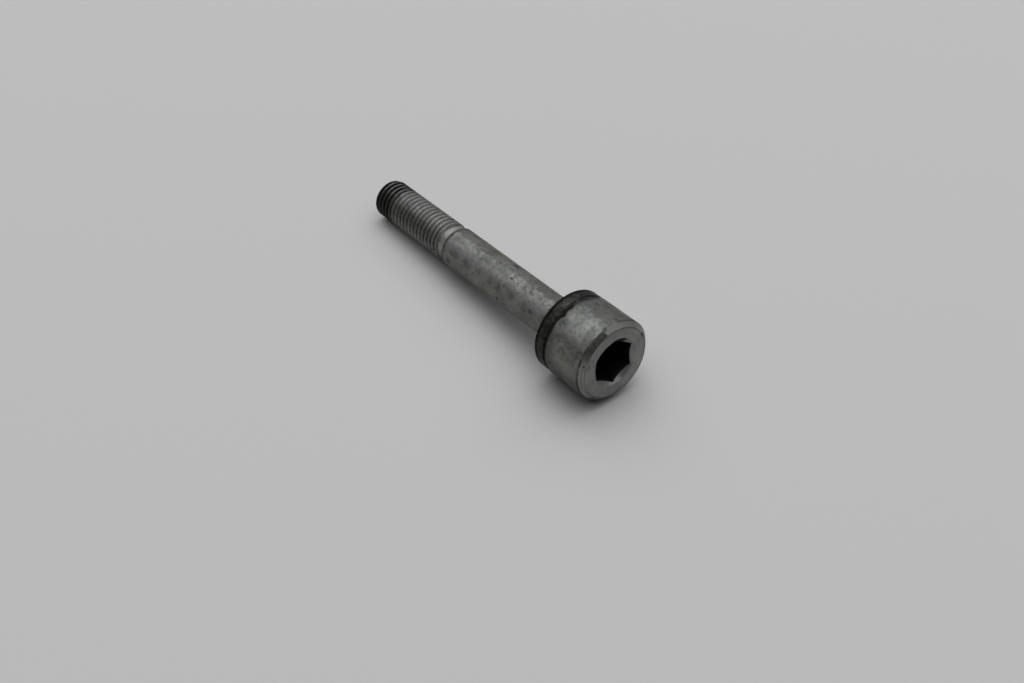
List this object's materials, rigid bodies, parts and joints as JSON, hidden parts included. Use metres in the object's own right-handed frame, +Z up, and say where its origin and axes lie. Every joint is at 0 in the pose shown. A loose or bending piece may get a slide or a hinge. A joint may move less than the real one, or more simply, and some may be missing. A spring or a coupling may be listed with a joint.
{
  "type": "hex socket head cap screw",
  "caption": "Long partly threaded cap screw with a deep collared cylindrical head, hex socket, plain shank and metric coarse thread.",
  "frame": {"origin": "on the floor under the middle of the screw's overall length, as it lies at rest", "axes": "+X from the thread towards the head, +Z up; the screw's axis lies in the XZ plane and rises 4.10 degrees towards the head"},
  "size_m": [0.123, 0.0284, 0.0297],
  "materials": {
    "coated_steel": "matt grey zinc-flake coating, mottled, darker on the collar, the top bevel and the last turns of the thread"
  },
  "bodies": {
    "root": {"screw": "coated_steel"}
  },
  "joints": []
}
